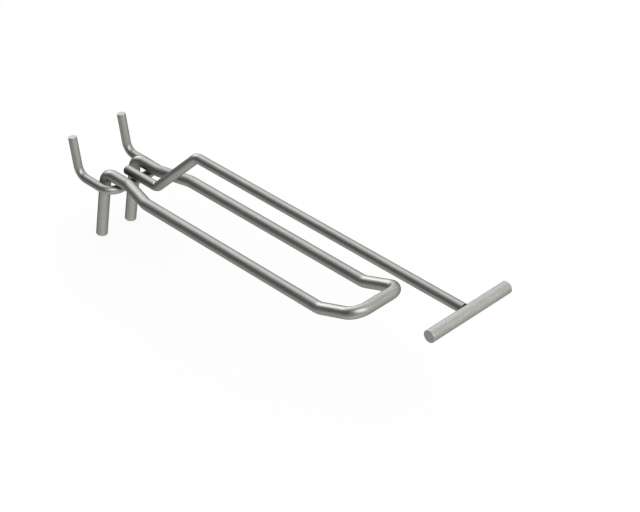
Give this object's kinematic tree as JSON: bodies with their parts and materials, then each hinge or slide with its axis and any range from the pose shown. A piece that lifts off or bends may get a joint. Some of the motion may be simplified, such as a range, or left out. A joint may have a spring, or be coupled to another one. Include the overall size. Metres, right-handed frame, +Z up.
{
  "type": "pegboard hook",
  "caption": "Bent and welded steel wire display hook: a long loop of rails with an upturned nose, a peg staple at the back and a label arm with a cross bar above.",
  "frame": {"origin": "midway between the two pegs, on their axis, where the front face of the board crosses it", "axes": "+Z up, +X across the hook, the rails reach forward along -Y and the pegs go through the board along +Y"},
  "size_m": [0.04, 0.2026, 0.0591],
  "materials": {
    "zinc_wire": "drawn steel wire with bright zinc plating, satin, with faint streaks along the wire"
  },
  "bodies": {
    "root": {"hook_loop": "zinc_wire", "peg_staple": "zinc_wire", "label_arm": "zinc_wire", "label_bar": "zinc_wire"}
  },
  "joints": []
}
